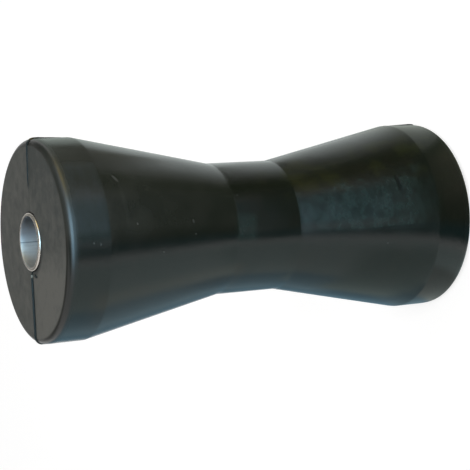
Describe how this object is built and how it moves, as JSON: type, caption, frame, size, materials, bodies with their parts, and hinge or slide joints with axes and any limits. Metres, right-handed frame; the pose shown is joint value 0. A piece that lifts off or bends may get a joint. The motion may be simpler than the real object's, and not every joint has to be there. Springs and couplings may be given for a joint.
{
  "type": "boat trailer keel roller",
  "caption": "Waisted black rubber roller on a steel sleeve; it turns on a trailer spindle and guides a boat's keel in its narrow middle.",
  "frame": {"origin": "centre of the lower end ring of the steel sleeve, on which the roller stands", "axes": "+Z along the roller's axis, upwards; the fin of flash at each end lies in the XZ plane, where the mould parts"},
  "size_m": [0.09, 0.0888, 0.2048],
  "materials": {
    "rubber": "semi-gloss moulded black rubber",
    "sleeve_steel": "dull drawn steel tube"
  },
  "bodies": {
    "root": {"roller_body": "rubber", "steel_sleeve": "sleeve_steel"}
  },
  "joints": []
}
